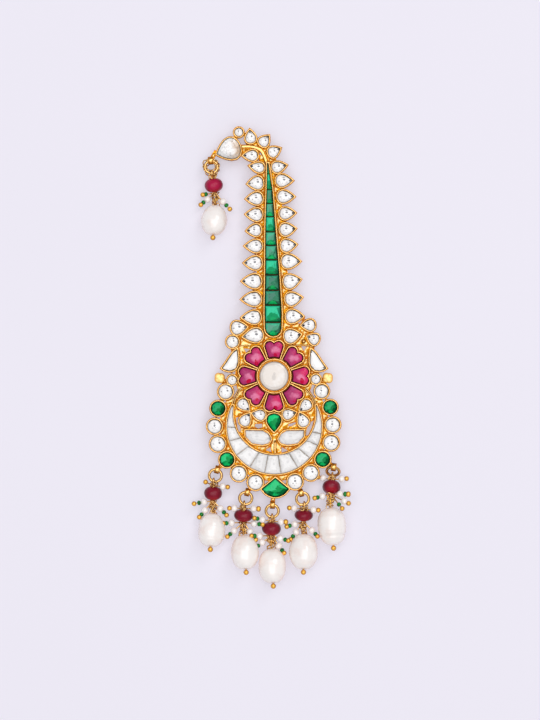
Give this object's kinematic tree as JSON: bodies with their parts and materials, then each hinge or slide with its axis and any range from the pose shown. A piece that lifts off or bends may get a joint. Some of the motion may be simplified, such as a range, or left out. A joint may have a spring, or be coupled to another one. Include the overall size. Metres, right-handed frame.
{
  "type": "kalgi turban brooch",
  "caption": "Turban brooch with a stone-set plume, a flower over a crescent, a stem behind it, and hanging drops of ruby beads and pearls.",
  "frame": {"origin": "middle of the whole brooch's box, on the surface that it lies on", "axes": "+X to the right of the brooch, +Y up its plume, +Z out of its face"},
  "size_m": [0.0496, 0.1471, 0.0092],
  "materials": {
    "gold": "worn high-karat gold, burnished rims",
    "polki": "flat-cut white stone over foil, small grey specks",
    "emerald": "polished green stone with paler patches",
    "petal_pink": "polished pink-red stone over foil",
    "ruby": "polished deep crimson bead",
    "pearl": "warm white lustre"
  },
  "bodies": {
    "root": {"frame": "gold", "turban_prong": "gold", "centre_stone": "polki", "tip_stone": "polki", "base_emerald": "emerald", "garden_emerald": "emerald", "left_leaf_stone": "polki", "right_leaf_stone": "polki", "ruby_petal_1": "petal_pink", "ruby_petal_2": "petal_pink", "ruby_petal_3": "petal_pink", "ruby_petal_4": "petal_pink", "ruby_petal_5": "petal_pink", "ruby_petal_6": "petal_pink", "ruby_petal_7": "petal_pink", "ruby_petal_8": "petal_pink", "channel_emeralds": "emerald", "border_emeralds": "emerald", "border_rounds": "polki", "left_pears": "polki", "right_pears": "polki", "crescent_stones": "polki", "shoulder_stones": "polki", "garden_pears": "polki", "seed_pearls": "pearl", "jump_ring_1": "gold", "bead_pin_1": "gold", "ruby_bead_1": "ruby", "pearl_pin_1": "gold", "big_pearl_1": "pearl", "jump_ring_2": "gold", "bead_pin_2": "gold", "ruby_bead_2": "ruby", "pearl_pin_2": "gold", "big_pearl_2": "pearl", "jump_ring_3": "gold", "bead_pin_3": "gold", "ruby_bead_3": "ruby", "pearl_pin_3": "gold", "big_pearl_3": "pearl", "jump_ring_4": "gold", "bead_pin_4": "gold", "ruby_bead_4": "ruby", "pearl_pin_4": "gold", "big_pearl_4": "pearl", "jump_ring_5": "gold", "bead_pin_5": "gold", "ruby_bead_5": "ruby", "pearl_pin_5": "gold", "big_pearl_5": "pearl", "jump_ring_6": "gold", "bead_pin_6": "gold", "ruby_bead_6": "ruby", "pearl_pin_6": "gold", "big_pearl_6": "pearl"}
  },
  "joints": []
}
